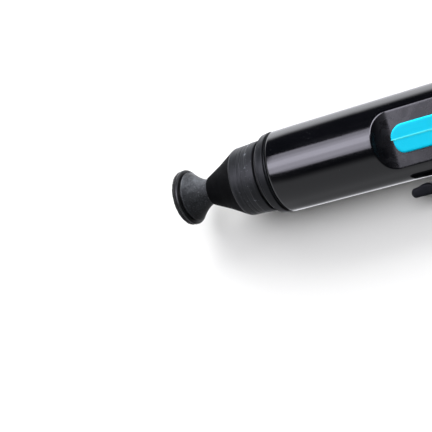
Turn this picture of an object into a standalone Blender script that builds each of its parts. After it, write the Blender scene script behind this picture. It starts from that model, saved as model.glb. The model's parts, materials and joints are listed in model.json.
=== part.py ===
"""Lens cleaning pen with a flexible cleaning tip at one end and a retractable brush at the other.

Stations run along the pen's axis, in +X towards the brush, from the barrel's front face.
Heights are measured from the axis towards the thumb button, and the clip stands off on the -Y side.
The whole pen hangs on one empty, which rolls it so that it lies on its barrel and its clip.
"""
import math

import bmesh
import bpy

MM = 0.001
WELD = 1e-7

ROUND_STEPS = 40
SMALL_STEPS = 24
TINY_STEPS = 10
SHARP_ANGLE = math.radians(32)

SEAT_GAP = 0.15 * MM
RUN_GAP = 0.2 * MM
THROUGH = 1.0 * MM

# Cleaning tip
PAD_FRONT = -23.0 * MM
PAD_RADIUS = 5.7 * MM
PAD_THICKNESS = 0.6 * MM
PLATE_RADIUS = 5.78 * MM
PLATE_THICKNESS = 0.6 * MM
PLATE_HUB_RADIUS = 4.6 * MM
PLATE_HUB_LENGTH = 0.15 * MM
TRUMPET_RADIUS = 5.05 * MM
TRUMPET_RIM = 0.25 * MM
NECK_RADIUS = 2.55 * MM
FLARE_POWER = 1.7
FLARE_STEPS = 7
PLUG_RADIUS = 2.5 * MM
PLUG_FRONT_RADIUS = 1.9 * MM
PLUG_BARB = -14.2 * MM
PLUG_SHOULDER = -13.0 * MM
PLUG_REAR = -12.4 * MM
PLUG_REAR_RADIUS = 1.6 * MM
TIP_PIVOT = -16.5 * MM

# Nose
CONE_FRONT = -16.5 * MM
CONE_FRONT_RADIUS = 3.0 * MM
CONE_WAIST = (-12.7 * MM, 4.76 * MM)
CONE_REAR = -8.9 * MM
CONE_REAR_RADIUS = 6.88 * MM
MOUTH_RADIUS = 2.75 * MM
MOUTH_DEPTH = 1.4 * MM
CONE_BORE_RADIUS = 4.5 * MM
CONE_BORE_FRONT = -9.6 * MM
SPIGOT_RADIUS = 5.5 * MM
CONE_SPIGOT_END = -6.2 * MM
SLEEVE_FRONT = -8.75 * MM
SLEEVE_FRONT_RADIUS = 6.92 * MM
SLEEVE_REAR = -3.2 * MM
SLEEVE_REAR_RADIUS = 7.23 * MM
SEAL_SECTION = 0.27 * MM
SEAL_RADIUS = 6.5 * MM
COLLAR_FRONT = -2.5 * MM
COLLAR_FRONT_RADIUS = 7.5 * MM
COLLAR_CHAMFER = 0.5 * MM
CORE_RADIUS = 6.1 * MM
CORE_BORE_RADIUS = 4.3 * MM
CORE_STEP = -3.0 * MM
CORE_REAR = 9.6 * MM

# Barrel, with the finger recess on top and a flat-topped bore below it
BARREL_RADIUS = 8.2 * MM
BARREL_LENGTH = 72.0 * MM
BARREL_EDGE = 0.3 * MM
FRONT_BORE_RADIUS = 6.3 * MM
FRONT_BORE_END = 10.0 * MM
MAIN_BORE_RADIUS = 7.0 * MM
BORE_FLAT = 4.9 * MM
BORE_FLAT_START = 19.0 * MM
BORE_FLAT_END = 68.0 * MM
RECESS_FRONT = 21.85 * MM
RECESS_FLOOR = 6.15 * MM
RECESS_MARGIN = 3.35 * MM
RAMP_RADIUS = 4.0 * MM
RAMP_STEPS = 8
END_STEPS = 10

# Brush slide
TRAVEL = 21.0 * MM
BUTTON_FRONT = 25.2 * MM
BUTTON_LENGTH = 12.0 * MM
BUTTON_HALF_WIDTH = 2.75 * MM
BUTTON_TOP = 7.3 * MM
BUTTON_EDGE = 0.35 * MM
LEG_FRONT = 28.0 * MM
LEG_REAR = 34.0 * MM
LEG_HALF_WIDTH = 1.25 * MM
SLOT_HALF_WIDTH = 1.5 * MM
SADDLE_FRONT = 27.2 * MM
SADDLE_REAR = 34.8 * MM
SADDLE_HALF_WIDTH = 2.5 * MM
CARRIAGE_FRONT = 24.2 * MM
LAND_LENGTH = 2.4 * MM
REAR_LAND = 44.0 * MM
CARRIAGE_RADIUS = 3.6 * MM
CARRIAGE_BORE_RADIUS = 2.0 * MM
CARRIAGE_REAR = 52.0 * MM
FERRULE_FRONT = 46.7 * MM
FERRULE_REAR = 60.0 * MM
FERRULE_RADIUS = 4.4 * MM
FERRULE_BORE_RADIUS = 3.9 * MM
CRIMP_DEPTH = 0.12 * MM
CRIMP_STATIONS = (54.5 * MM, 56.5 * MM)
CRIMP_HALF_LENGTH = 0.5 * MM
TUFT_ROOT_RADIUS = 3.72 * MM
TUFT_BELLY_RADIUS = 4.6 * MM
TUFT_BELLY = 71.0 * MM
TUFT_TIP = 80.3 * MM
TUFT_STEPS = 10
SPRING_FRONT = 27.4 * MM
SPRING_REAR = 43.2 * MM
SPRING_THICKNESS = 0.35 * MM
SPRING_HALF_WIDTH = 1.5 * MM
SPRING_RISE = 2.5 * MM
SPRING_STEPS = 12

# Rear end and clip
REAR_SLEEVE_FRONT = 68.2 * MM
REAR_SLEEVE_RADIUS = 6.8 * MM
REAR_SLEEVE_BORE_RADIUS = 5.6 * MM
RING_LENGTH = 4.7 * MM
RING_SEAT_HALF_WIDTH = 3.0 * MM
RING_SEAT_HEIGHT = 8.6 * MM
REAR_END = 82.0 * MM
BEZEL_FACE_RADIUS = 7.0 * MM
BEZEL_ROUNDING = 1.2 * MM
BEZEL_LIP = 0.8 * MM
BEZEL_MOUTH_RADIUS = 5.4 * MM
CLIP_OUTER = 11.42 * MM
CLIP_HALF_WIDTH = 2.5 * MM
CLIP_EDGE = 0.4 * MM
CLIP_TIP = 24.5 * MM
CLIP_BUMP = 27.5 * MM
CLIP_BUMP_HALF_LENGTH = 2.05 * MM
CLIP_BUMP_DEPTH = 0.46 * MM
CLIP_BUMP_STEPS = 8
CLIP_INNER = 9.6 * MM
CLIP_HINGE = 71.4 * MM
FOOT_REAR_MARGIN = 0.25 * MM
RIVET_INSET = 1.1 * MM
RIVET_SHANK_RADIUS = 0.5 * MM
RIVET_HEAD_RADIUS = 0.8 * MM
RIVET_HEAD_LENGTH = 0.5 * MM
RIVET_DEPTH = 1.2 * MM

# The clip's rounded lower corner and the barrel touch the table together at this roll.
CORNER_INSET = CLIP_EDGE * (1.0 - math.sqrt(0.5))
CORNER = math.hypot(CLIP_OUTER - CORNER_INSET, CLIP_HALF_WIDTH - CORNER_INSET)
CORNER_ANGLE = math.atan2(CLIP_HALF_WIDTH - CORNER_INSET, CLIP_OUTER - CORNER_INSET)
ROLL = math.asin(BARREL_RADIUS / CORNER) - CORNER_ANGLE
CLIP_REACH = CORNER * math.cos(ROLL - CORNER_ANGLE)


def clear_scene():
    for item in list(bpy.data.objects):
        bpy.data.objects.remove(item, do_unlink=True)


def make_material(name, colour, roughness, metallic=0.0):
    material = bpy.data.materials.new(name)
    material.use_nodes = True
    shader = material.node_tree.nodes["Principled BSDF"]
    shader.inputs["Base Color"].default_value = (*colour, 1.0)
    shader.inputs["Roughness"].default_value = roughness
    shader.inputs["Metallic"].default_value = metallic
    return material


def make_object(name, bm, parent, origin=(0.0, 0.0, 0.0)):
    """Wraps a mesh drawn in pen stations, with the object's origin moved to a point of its own."""
    bmesh.ops.remove_doubles(bm, verts=bm.verts, dist=WELD)
    bmesh.ops.recalc_face_normals(bm, faces=bm.faces)
    bmesh.ops.translate(bm, verts=bm.verts, vec=[-value for value in origin])
    mesh = bpy.data.meshes.new(name)
    bm.to_mesh(mesh)
    bm.free()
    mesh.shade_smooth()
    mesh.set_sharp_from_angle(angle=SHARP_ANGLE)
    item = bpy.data.objects.new(name, mesh)
    bpy.context.collection.objects.link(item)
    item.parent = parent
    item.location = origin
    return item


def soften(points, size, sharp=math.radians(25)):
    """Cuts a small flat across each corner of a closed profile, except on the axis."""
    softened = []
    for index, point in enumerate(points):
        before = points[index - 1]
        after = points[(index + 1) % len(points)]
        back = math.dist(point, before)
        ahead = math.dist(point, after)
        turn = math.atan2(after[1] - point[1], after[0] - point[0])
        turn -= math.atan2(point[1] - before[1], point[0] - before[0])
        if point[1] <= 0.0 or abs(math.remainder(turn, math.tau)) < sharp:
            softened.append(point)
            continue
        for other, length in ((before, back), (after, ahead)):
            share = min(size, 0.35 * length) / length
            softened.append(tuple(p + (o - p) * share for p, o in zip(point, other)))
    return softened


def turned_mesh(profile, steps):
    """Spins a closed profile of (station, radius) points about the pen's axis."""
    bm = bmesh.new()
    points = [bm.verts.new((station, 0.0, radius)) for station, radius in profile]
    edges = [
        bm.edges.new((a, b))
        for a, b in zip(points, points[1:] + points[:1])
        if a.co.z > 0.0 or b.co.z > 0.0
    ]
    bmesh.ops.spin(bm, geom=points + edges, cent=(0, 0, 0), axis=(1, 0, 0),
                   angle=math.tau, steps=steps, use_merge=True)
    return bm


def lofted_mesh(rings):
    """Skins closed rings of equal length and caps the first and the last."""
    bm = bmesh.new()
    rows = [[bm.verts.new(point) for point in ring] for ring in rings]
    for row, following in zip(rows, rows[1:]):
        for index in range(len(row)):
            after = (index + 1) % len(row)
            bm.faces.new((row[index], row[after], following[after], following[index]))
    bm.faces.new(list(reversed(rows[0])))
    bm.faces.new(rows[-1])
    return bm


def extruded_mesh(outline, low, high, place):
    """Extrudes a closed outline of (u, v) points between two offsets, as place(u, v, offset)."""
    return lofted_mesh([[place(u, v, offset) for u, v in outline] for offset in (low, high)])


def box_mesh(low, high):
    outline = [(low[0], low[1]), (high[0], low[1]), (high[0], high[1]), (low[0], high[1])]
    return extruded_mesh(outline, low[2], high[2], lambda x, y, z: (x, y, z))


def slot_outline(front, rear, half_width, nose):
    """A slot seen from above, from front to rear, with half-elliptic ends that are nose long."""
    points = []
    for centre, first in ((rear - nose, -90), (front + nose, 90)):
        for step in range(END_STEPS + 1):
            angle = math.radians(first + 180 * step / END_STEPS)
            points.append((centre + nose * math.cos(angle), half_width * math.sin(angle)))
    return points


def arc_points(centre, radius, first, last, steps):
    angles = [math.radians(first + (last - first) * step / steps) for step in range(steps + 1)]
    return [(centre[0] + radius * math.cos(a), centre[1] + radius * math.sin(a)) for a in angles]


def make_cutter(name, bm, parent):
    cutter = make_object(name, bm, parent)
    cutter.hide_render = True
    cutter.display_type = "WIRE"
    return cutter


def add_boolean(item, cutter, operation="DIFFERENCE"):
    modifier = item.modifiers.new(cutter.name, "BOOLEAN")
    modifier.operation = operation
    modifier.solver = "EXACT"
    modifier.object = cutter


def add_bevel(item, width, segments=2):
    modifier = item.modifiers.new("edge", "BEVEL")
    modifier.width = width
    modifier.segments = segments
    modifier.limit_method = "ANGLE"
    modifier.angle_limit = SHARP_ANGLE


def make_cleaning_pad(pen):
    profile = [
        (PAD_FRONT, 0.0),
        (PAD_FRONT, PAD_RADIUS),
        (PAD_FRONT + PAD_THICKNESS, PAD_RADIUS),
        (PAD_FRONT + PAD_THICKNESS, 0.0),
    ]
    return make_object("cleaning_pad", turned_mesh(soften(profile, 0.2 * MM), ROUND_STEPS), pen)


def plate_stations():
    front = PAD_FRONT + PAD_THICKNESS + SEAT_GAP
    shoulder = front + PLATE_THICKNESS
    return front, shoulder, shoulder + PLATE_HUB_LENGTH


def make_pad_plate(pen):
    front, shoulder, rear = plate_stations()
    profile = [
        (front, 0.0),
        (front, PLATE_RADIUS),
        (shoulder, PLATE_RADIUS),
        (shoulder, PLATE_HUB_RADIUS),
        (rear, PLATE_HUB_RADIUS),
        (rear, 0.0),
    ]
    return make_object("pad_plate", turned_mesh(soften(profile, 0.12 * MM), ROUND_STEPS), pen)


def make_flexible_tip(pen):
    """The rubber trumpet: a thin rim, then a concave flare down to the neck."""
    front = plate_stations()[2] + SEAT_GAP
    flare_front = front + TRUMPET_RIM
    flare_rear = CONE_FRONT - SEAT_GAP
    profile = [(front, 0.0), (front, TRUMPET_RADIUS)]
    for step in range(FLARE_STEPS + 1):
        share = step / FLARE_STEPS
        radius = NECK_RADIUS + (TRUMPET_RADIUS - NECK_RADIUS) * (1.0 - share) ** FLARE_POWER
        profile.append((flare_front + (flare_rear - flare_front) * share, radius))
    profile.append((flare_rear, 0.0))
    pivot = (TIP_PIVOT, 0.0, 0.0)
    return make_object("flexible_tip", turned_mesh(profile, ROUND_STEPS), pen, pivot)


def make_tip_plug(pen):
    front = TIP_PIVOT + 2 * RUN_GAP
    profile = [
        (front, 0.0),
        (front, PLUG_FRONT_RADIUS),
        (PLUG_BARB, PLUG_RADIUS),
        (PLUG_SHOULDER, PLUG_RADIUS),
        (PLUG_REAR, PLUG_REAR_RADIUS),
        (PLUG_REAR, 0.0),
    ]
    pivot = (TIP_PIVOT, 0.0, 0.0)
    mesh = turned_mesh(soften(profile, 0.15 * MM), SMALL_STEPS)
    return make_object("tip_plug", mesh, pen, pivot)


def make_nose_cone(pen):
    profile = [
        (CONE_FRONT, MOUTH_RADIUS),
        (CONE_FRONT, CONE_FRONT_RADIUS),
        CONE_WAIST,
        (CONE_REAR, CONE_REAR_RADIUS),
        (CONE_REAR, SPIGOT_RADIUS),
        (CONE_SPIGOT_END, SPIGOT_RADIUS),
        (CONE_SPIGOT_END, CONE_BORE_RADIUS),
        (CONE_BORE_FRONT, CONE_BORE_RADIUS),
        (CONE_FRONT + MOUTH_DEPTH, MOUTH_RADIUS),
    ]
    return make_object("nose_cone", turned_mesh(soften(profile, 0.15 * MM), ROUND_STEPS), pen)


def make_nose_sleeve(pen):
    bore = SPIGOT_RADIUS + RUN_GAP
    profile = [
        (SLEEVE_FRONT, bore),
        (SLEEVE_FRONT, SLEEVE_FRONT_RADIUS),
        (SLEEVE_REAR, SLEEVE_REAR_RADIUS),
        (SLEEVE_REAR, bore),
    ]
    return make_object("nose_sleeve", turned_mesh(soften(profile, 0.2 * MM), ROUND_STEPS), pen)


def make_seal_ring(pen):
    middle = (SLEEVE_REAR + COLLAR_FRONT) / 2
    section = [math.tau * step / 8 for step in range(8)]
    profile = [
        (middle + SEAL_SECTION * math.cos(angle), SEAL_RADIUS + SEAL_SECTION * math.sin(angle))
        for angle in section
    ]
    return make_object("seal_ring", turned_mesh(profile, ROUND_STEPS), pen)


def make_collar_ring(pen):
    bore = CORE_RADIUS + SEAT_GAP
    shoulder = COLLAR_FRONT + COLLAR_CHAMFER
    profile = [
        (COLLAR_FRONT, bore),
        (COLLAR_FRONT, COLLAR_FRONT_RADIUS),
        (shoulder, BARREL_RADIUS - 0.15 * MM),
        (-SEAT_GAP, BARREL_RADIUS),
        (-SEAT_GAP, bore),
    ]
    return make_object("collar_ring", turned_mesh(soften(profile, 0.12 * MM), ROUND_STEPS), pen)


def make_nose_core(pen):
    front = CONE_SPIGOT_END + SEAT_GAP
    profile = [
        (front, CORE_BORE_RADIUS),
        (front, SPIGOT_RADIUS),
        (CORE_STEP, SPIGOT_RADIUS),
        (CORE_STEP, CORE_RADIUS),
        (CORE_REAR, CORE_RADIUS),
        (CORE_REAR, CORE_BORE_RADIUS),
    ]
    return make_object("nose_core", turned_mesh(soften(profile, 0.2 * MM), ROUND_STEPS), pen)


def bore_ring(station, radius, flat=None):
    ring = []
    for step in range(ROUND_STEPS):
        angle = math.tau * (step + 0.5) / ROUND_STEPS
        height = radius * math.cos(angle)
        if flat is not None:
            height = min(height, flat)
        ring.append((station, radius * math.sin(angle), height))
    return ring


def make_bore_cutter(pen):
    """Front bore, then a wider bore whose top is flat along the slider's run."""
    rings = [
        bore_ring(-THROUGH, FRONT_BORE_RADIUS),
        bore_ring(FRONT_BORE_END, FRONT_BORE_RADIUS),
        bore_ring(FRONT_BORE_END, MAIN_BORE_RADIUS),
        bore_ring(BORE_FLAT_START, MAIN_BORE_RADIUS),
        bore_ring(BORE_FLAT_START, MAIN_BORE_RADIUS, BORE_FLAT),
        bore_ring(BORE_FLAT_END, MAIN_BORE_RADIUS, BORE_FLAT),
        bore_ring(BORE_FLAT_END, MAIN_BORE_RADIUS),
        bore_ring(BARREL_LENGTH + THROUGH, MAIN_BORE_RADIUS),
    ]
    return make_cutter("bore_cutter", lofted_mesh(rings), pen)


def make_recess_cutter(pen):
    """A flat floor cut right across the barrel, with a round ramp up to the surface at each end."""
    top = BARREL_RADIUS + THROUGH
    over = top - RECESS_FLOOR
    run = math.sqrt(RAMP_RADIUS ** 2 - (RAMP_RADIUS - BARREL_RADIUS + RECESS_FLOOR) ** 2)
    rear = BUTTON_FRONT + BUTTON_LENGTH + TRAVEL + RECESS_MARGIN
    centre_height = RECESS_FLOOR + RAMP_RADIUS
    reach = math.degrees(math.acos(1.0 - over / RAMP_RADIUS))
    outline = arc_points((rear - run, centre_height), RAMP_RADIUS, reach - 90, -90, RAMP_STEPS)
    outline += arc_points((RECESS_FRONT + run, centre_height), RAMP_RADIUS, -90, -90 - reach,
                          RAMP_STEPS)
    wide = BARREL_RADIUS + THROUGH
    mesh = extruded_mesh(outline, -wide, wide, lambda x, z, y: (x, y, z))
    return make_cutter("recess_cutter", mesh, pen)


def make_slot_cutter(pen):
    outline = slot_outline(LEG_FRONT - 2 * RUN_GAP, LEG_REAR + TRAVEL + 2 * RUN_GAP,
                           SLOT_HALF_WIDTH, SLOT_HALF_WIDTH / 2)
    mesh = extruded_mesh(outline, BORE_FLAT - THROUGH, RECESS_FLOOR + THROUGH,
                         lambda x, y, z: (x, y, z))
    return make_cutter("slot_cutter", mesh, pen)


def make_barrel(pen):
    profile = [
        (0.0, 0.0),
        (0.0, BARREL_RADIUS),
        (BARREL_LENGTH, BARREL_RADIUS),
        (BARREL_LENGTH, 0.0),
    ]
    mesh = turned_mesh(soften(profile, BARREL_EDGE), ROUND_STEPS)
    barrel = make_object("barrel", mesh, pen)
    for cutter in (make_bore_cutter(pen), make_recess_cutter(pen), make_slot_cutter(pen)):
        add_boolean(barrel, cutter)
    return barrel


def make_slider_button(pen):
    """The thumb button with the leg that reaches down through the slot."""
    origin = (BUTTON_FRONT + BUTTON_LENGTH / 2, 0.0, 0.0)
    bottom = RECESS_FLOOR + RUN_GAP
    levels = ((0.0, bottom), (0.0, BUTTON_TOP - BUTTON_EDGE), (BUTTON_EDGE, BUTTON_TOP))
    rings = []
    for inset, height in levels:
        outline = slot_outline(BUTTON_FRONT + inset, BUTTON_FRONT + BUTTON_LENGTH - inset,
                               BUTTON_HALF_WIDTH - inset, BUTTON_HALF_WIDTH - inset)
        rings.append([(x, y, height) for x, y in outline])
    button = make_object("slider_button", lofted_mesh(rings), pen, origin)
    leg_low = (LEG_FRONT, -LEG_HALF_WIDTH, BORE_FLAT - SEAT_GAP / 2)
    leg_high = (LEG_REAR, LEG_HALF_WIDTH, bottom + BUTTON_EDGE)
    add_boolean(button, make_cutter("button_leg", box_mesh(leg_low, leg_high), pen), "UNION")
    return button


def make_slider_saddle(pen):
    origin = ((SADDLE_FRONT + SADDLE_REAR) / 2, 0.0, 0.0)
    low = (SADDLE_FRONT, -SADDLE_HALF_WIDTH, CARRIAGE_RADIUS + SEAT_GAP)
    high = (SADDLE_REAR, SADDLE_HALF_WIDTH, BORE_FLAT - RUN_GAP)
    saddle = make_object("slider_saddle", box_mesh(low, high), pen, origin)
    add_bevel(saddle, 0.2 * MM)
    return saddle


def make_brush_carriage(pen):
    """A tube with two guide lands, flattened on top to run under the bore's flat."""
    land = MAIN_BORE_RADIUS - RUN_GAP
    spigot = FERRULE_BORE_RADIUS - RUN_GAP
    profile = [
        (CARRIAGE_FRONT, CARRIAGE_BORE_RADIUS),
        (CARRIAGE_FRONT, land),
        (CARRIAGE_FRONT + LAND_LENGTH, land),
        (CARRIAGE_FRONT + LAND_LENGTH, CARRIAGE_RADIUS),
        (REAR_LAND, CARRIAGE_RADIUS),
        (REAR_LAND, land),
        (REAR_LAND + LAND_LENGTH, land),
        (REAR_LAND + LAND_LENGTH, spigot),
        (CARRIAGE_REAR, spigot),
        (CARRIAGE_REAR, CARRIAGE_BORE_RADIUS),
    ]
    origin = (CARRIAGE_FRONT, 0.0, 0.0)
    mesh = turned_mesh(soften(profile, 0.15 * MM), SMALL_STEPS)
    carriage = make_object("brush_carriage", mesh, pen, origin)
    low = (CARRIAGE_FRONT - THROUGH, -BARREL_RADIUS, BORE_FLAT - RUN_GAP)
    high = (CARRIAGE_REAR + THROUGH, BARREL_RADIUS, BARREL_RADIUS)
    add_boolean(carriage, make_cutter("carriage_flat", box_mesh(low, high), pen))
    return carriage


def make_detent_spring(pen):
    """A leaf that bows down from the carriage tube towards the bore."""
    top = -(CARRIAGE_RADIUS + SEAT_GAP)
    upper = []
    for step in range(SPRING_STEPS + 1):
        share = step / SPRING_STEPS
        drop = SPRING_RISE * math.sin(math.pi * share) ** 2
        upper.append((SPRING_FRONT + (SPRING_REAR - SPRING_FRONT) * share, top - drop))
    lower = [(x, z - SPRING_THICKNESS) for x, z in reversed(upper)]
    mesh = extruded_mesh(upper + lower, -SPRING_HALF_WIDTH, SPRING_HALF_WIDTH,
                         lambda x, z, y: (x, y, z))
    return make_object("detent_spring", mesh, pen, (SPRING_FRONT, 0.0, 0.0))


def make_brush_ferrule(pen):
    profile = [(FERRULE_FRONT, FERRULE_BORE_RADIUS), (FERRULE_FRONT, FERRULE_RADIUS)]
    for station in CRIMP_STATIONS:
        profile.append((station - CRIMP_HALF_LENGTH, FERRULE_RADIUS))
        profile.append((station, FERRULE_RADIUS - CRIMP_DEPTH))
        profile.append((station + CRIMP_HALF_LENGTH, FERRULE_RADIUS))
    profile.append((FERRULE_REAR, FERRULE_RADIUS))
    profile.append((FERRULE_REAR, FERRULE_BORE_RADIUS))
    mesh = turned_mesh(soften(profile, 0.1 * MM), SMALL_STEPS)
    return make_object("brush_ferrule", mesh, pen, (FERRULE_FRONT, 0.0, 0.0))


def make_brush_bristles(pen):
    """The tuft: a round root in the ferrule, a soft belly and a domed tip."""
    root = CARRIAGE_REAR + SEAT_GAP
    profile = [(root, 0.0), (root, TUFT_ROOT_RADIUS), (FERRULE_REAR, TUFT_ROOT_RADIUS)]
    for step in range(1, TUFT_STEPS):
        share = step / TUFT_STEPS
        if share < 0.5:
            station = FERRULE_REAR + (TUFT_BELLY - FERRULE_REAR) * 2 * share
            swell = math.sin(math.pi * share)
            radius = TUFT_ROOT_RADIUS + (TUFT_BELLY_RADIUS - TUFT_ROOT_RADIUS) * swell
        else:
            angle = math.pi * (share - 0.5)
            station = TUFT_BELLY + (TUFT_TIP - TUFT_BELLY) * math.sin(angle)
            radius = TUFT_BELLY_RADIUS * math.cos(angle)
        profile.append((station, radius))
    profile.append((TUFT_TIP, 0.0))
    mesh = turned_mesh(profile, SMALL_STEPS)
    return make_object("brush_bristles", mesh, pen, (FERRULE_REAR, 0.0, 0.0))


def ring_stations():
    front = BARREL_LENGTH + SEAT_GAP
    return front, front + RING_LENGTH


def make_rear_sleeve(pen):
    rear = REAR_END - BEZEL_LIP - SEAT_GAP
    profile = [
        (REAR_SLEEVE_FRONT, REAR_SLEEVE_BORE_RADIUS),
        (REAR_SLEEVE_FRONT, REAR_SLEEVE_RADIUS),
        (rear, REAR_SLEEVE_RADIUS),
        (rear, REAR_SLEEVE_BORE_RADIUS),
    ]
    return make_object("rear_sleeve", turned_mesh(soften(profile, 0.2 * MM), ROUND_STEPS), pen)


def rivet_stations():
    front, rear = foot_stations()
    return {"clip_rivet_front": front + RIVET_INSET, "clip_rivet_rear": rear - RIVET_INSET}


def rivet_mesh(station, clearance=0.0, through=0.0):
    """A rivet along the clip's standing direction, or the stepped hole it sits in."""
    head = RIVET_HEAD_RADIUS + clearance
    shank = RIVET_SHANK_RADIUS + clearance
    top = CLIP_OUTER + through
    shoulder = CLIP_OUTER - RIVET_HEAD_LENGTH - clearance
    bottom = RING_SEAT_HEIGHT - RIVET_DEPTH - clearance
    profile = [(bottom, 0.0), (bottom, shank), (shoulder, shank), (shoulder, head), (top, head),
               (top, 0.0)]
    bm = turned_mesh(profile, TINY_STEPS)
    for vert in bm.verts:
        along, side, height = vert.co
        vert.co = (station + side, -along, height)
    return bm


def make_rivet_holes(pen):
    return [
        make_cutter(name + "_hole", rivet_mesh(station, SEAT_GAP, THROUGH), pen)
        for name, station in rivet_stations().items()
    ]


def make_clip_ring(pen, holes):
    """The ring behind the barrel, with a flat seat for the clip's foot."""
    front, rear = ring_stations()
    bore = REAR_SLEEVE_RADIUS + SEAT_GAP
    profile = [(front, bore), (front, BARREL_RADIUS), (rear, BARREL_RADIUS), (rear, bore)]
    mesh = turned_mesh(soften(profile, 0.25 * MM), ROUND_STEPS)
    ring = make_object("clip_ring", mesh, pen)
    middle = (bore + BARREL_RADIUS) / 2
    low = (front + BARREL_EDGE, -RING_SEAT_HEIGHT, -RING_SEAT_HALF_WIDTH)
    high = (rear - BARREL_EDGE, -middle, RING_SEAT_HALF_WIDTH)
    add_boolean(ring, make_cutter("clip_seat", box_mesh(low, high), pen), "UNION")
    for hole in holes:
        add_boolean(ring, hole)
    return ring


def foot_stations():
    front = CLIP_HINGE + (CLIP_OUTER - CLIP_INNER) / 2 + RUN_GAP
    return front, ring_stations()[1] - FOOT_REAR_MARGIN


def make_clip_foot(pen, holes):
    front, rear = foot_stations()
    corner = 2 * CLIP_EDGE
    seat = RING_SEAT_HEIGHT + SEAT_GAP
    outline = [(front, seat), (rear, seat), (rear, CLIP_OUTER - corner),
               (rear - corner, CLIP_OUTER), (front, CLIP_OUTER)]
    mesh = extruded_mesh(outline, -CLIP_HALF_WIDTH, CLIP_HALF_WIDTH,
                         lambda x, out, z: (x, -out, z))
    foot = make_object("clip_foot", mesh, pen)
    add_bevel(foot, CLIP_EDGE, 1)
    for hole in holes:
        add_boolean(foot, hole)
    return foot


def make_clip_rivets(pen):
    return [
        make_object(name, rivet_mesh(station), pen, (station, 0.0, 0.0))
        for name, station in rivet_stations().items()
    ]


def make_pocket_clip(pen):
    """A straight strip with a half-round tip, a grip bump under it and a round root on the hinge."""
    half = (CLIP_OUTER - CLIP_INNER) / 2
    middle = CLIP_OUTER - half
    outline = arc_points((CLIP_HINGE, middle), half, -90, 90, 8)
    outline += arc_points((CLIP_TIP + half, middle), half, 90, 270, 8)
    for step in range(1, CLIP_BUMP_STEPS + 1):
        share = step / CLIP_BUMP_STEPS
        drop = CLIP_BUMP_DEPTH * math.sin(math.pi * share) ** 2
        station = CLIP_BUMP + CLIP_BUMP_HALF_LENGTH * (2 * share - 1)
        outline.append((station, CLIP_INNER - drop))
    mesh = extruded_mesh(outline, -CLIP_HALF_WIDTH, CLIP_HALF_WIDTH,
                         lambda x, out, z: (x, -out, z))
    clip = make_object("pocket_clip", mesh, pen, (CLIP_HINGE, -middle, 0.0))
    add_bevel(clip, CLIP_EDGE)
    return clip


def make_rear_bezel(pen):
    front = ring_stations()[1] + SEAT_GAP
    bore = REAR_SLEEVE_RADIUS + SEAT_GAP
    lip = REAR_END - BEZEL_LIP
    shoulder = REAR_END - BEZEL_ROUNDING
    profile = [(front, bore), (front, BARREL_RADIUS), (shoulder, BARREL_RADIUS)]
    for step in range(1, 5):
        angle = math.radians(90 * step / 4)
        radius = BEZEL_FACE_RADIUS + (BARREL_RADIUS - BEZEL_FACE_RADIUS) * math.cos(angle)
        profile.append((shoulder + BEZEL_ROUNDING * math.sin(angle), radius))
    profile += [(REAR_END, BEZEL_MOUTH_RADIUS), (lip, BEZEL_MOUTH_RADIUS), (lip, bore)]
    return make_object("rear_bezel", turned_mesh(soften(profile, 0.15 * MM), ROUND_STEPS), pen)


def make_pen_root():
    """Centres the pen over the origin, lying on its barrel and on the clip's lower corner."""
    pen = bpy.data.objects.new("pen_axis", None)
    bpy.context.collection.objects.link(pen)
    middle = (PAD_FRONT + REAR_END) / 2
    pen.location = (-middle, (CLIP_REACH - BARREL_RADIUS) / 2, BARREL_RADIUS)
    pen.rotation_euler = (ROLL, 0.0, 0.0)
    return pen


def main():
    clear_scene()
    felt = make_material("black_felt", (0.012, 0.012, 0.013), 0.95)
    rim = make_material("rim_plastic", (0.02, 0.022, 0.024), 0.35)
    rubber = make_material("grey_rubber", (0.045, 0.05, 0.055), 0.7)
    satin = make_material("satin_black", (0.012, 0.013, 0.015), 0.45)
    matte = make_material("matte_grey", (0.035, 0.037, 0.04), 0.6)
    seal = make_material("black_rubber", (0.01, 0.01, 0.01), 0.8)
    gloss = make_material("gloss_black", (0.005, 0.005, 0.006), 0.15)
    cyan = make_material("cyan_plastic", (0.0, 0.62, 0.9), 0.35)
    inner = make_material("inner_plastic", (0.05, 0.05, 0.055), 0.5)
    steel = make_material("spring_steel", (0.6, 0.6, 0.62), 0.3, 1.0)
    aluminium = make_material("ferrule_metal", (0.75, 0.76, 0.78), 0.25, 1.0)
    hair = make_material("bristle_hair", (0.03, 0.025, 0.022), 0.6)
    clip_plastic = make_material("clip_plastic", (0.016, 0.018, 0.024), 0.4)

    pen = make_pen_root()
    holes = make_rivet_holes(pen)
    pieces = {
        felt: [make_cleaning_pad(pen)],
        rim: [make_pad_plate(pen)],
        rubber: [make_flexible_tip(pen)],
        inner: [make_tip_plug(pen), make_nose_core(pen), make_slider_saddle(pen),
                make_brush_carriage(pen), make_rear_sleeve(pen)],
        satin: [make_nose_cone(pen)],
        matte: [make_nose_sleeve(pen), make_collar_ring(pen)],
        seal: [make_seal_ring(pen)],
        gloss: [make_barrel(pen), make_clip_ring(pen, holes), make_rear_bezel(pen)],
        cyan: [make_slider_button(pen)],
        steel: [make_detent_spring(pen), *make_clip_rivets(pen)],
        aluminium: [make_brush_ferrule(pen)],
        hair: [make_brush_bristles(pen)],
        clip_plastic: [make_clip_foot(pen, holes), make_pocket_clip(pen)],
    }
    for material, items in pieces.items():
        for item in items:
            item.data.materials.append(material)


main()
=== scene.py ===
"""Looks of the lens cleaning pen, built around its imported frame.

Pieces are drawn in the pen's own space: X runs along the pen from the barrel's front face towards
the brush, Z from the axis towards the thumb button, and the clip stands off on the -Y side.
"""

import json
import math
import random

import bmesh
import bpy
from mathutils import Matrix, Quaternion, Vector, noise


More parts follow.
